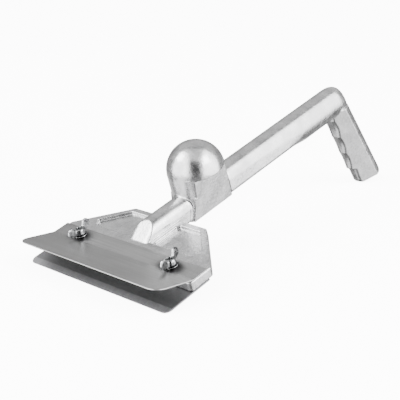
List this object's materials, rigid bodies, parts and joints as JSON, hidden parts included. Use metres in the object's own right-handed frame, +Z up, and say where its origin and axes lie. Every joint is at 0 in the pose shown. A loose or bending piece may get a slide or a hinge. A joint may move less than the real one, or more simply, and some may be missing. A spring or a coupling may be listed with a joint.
{
  "type": "two-handed flooring hand tool",
  "caption": "Two-handed flooring tool: cast body with flat head, straight bar, round palm knob and pistol grip, and two wide steel plates clamped to the head by wing nuts.",
  "frame": {"origin": "bottom centre of the bounding box, with the tool resting on a table on the lower plate's front edge and the toe of the grip", "axes": "+Y from the plates back towards the grip, +X to the right of a user behind the grip, +Z up; left and right halves are alike about the plane X = 0"},
  "size_m": [0.2, 0.4564, 0.1262],
  "materials": {
    "cast_aluminium": "satin, slightly mottled as-cast",
    "upper_steel": "brushed",
    "lower_steel": "dark, ground front edge",
    "zinc": "bright zinc plate"
  },
  "bodies": {
    "tool": {"cast_head_plate": "cast_aluminium", "cast_bar_nose": "cast_aluminium", "cast_knob_post": "cast_aluminium", "cast_ball_knob": "cast_aluminium", "cast_handle_bar": "cast_aluminium", "cast_pistol_grip": "cast_aluminium", "upper_plate": "upper_steel", "lower_plate": "lower_steel", "bolt_left": "zinc", "bolt_right": "zinc"},
    "washer_left": {"washer_left": "zinc"},
    "wing_nut_left": {"wing_nut_left": "zinc"},
    "washer_right": {"washer_right": "zinc"},
    "wing_nut_right": {"wing_nut_right": "zinc"}
  },
  "joints": [
    {"name": "washer_left_lift", "type": "slide", "parent": "tool", "child": "washer_left", "axis": [0, -0.263, 0.9648], "range_m": [0, 0.0041]},
    {"name": "wing_nut_left_turn", "type": "hinge", "parent": "washer_left", "child": "wing_nut_left", "pos_m": [-0.065, -0.17658, 0.02457], "axis": [0, -0.263, 0.9648], "range_deg": [0, 1800]},
    {"name": "washer_right_lift", "type": "slide", "parent": "tool", "child": "washer_right", "axis": [0, -0.263, 0.9648], "range_m": [0, 0.0041]},
    {"name": "wing_nut_right_turn", "type": "hinge", "parent": "washer_right", "child": "wing_nut_right", "pos_m": [0.065, -0.17658, 0.02457], "axis": [0, -0.263, 0.9648], "range_deg": [0, 1800]}
  ],
  "couplings": [
    {"joint": "washer_left_lift", "follows": "wing_nut_left_turn", "m_per_rad": 0.00012732},
    {"joint": "washer_right_lift", "follows": "wing_nut_right_turn", "m_per_rad": 0.00012732}
  ]
}
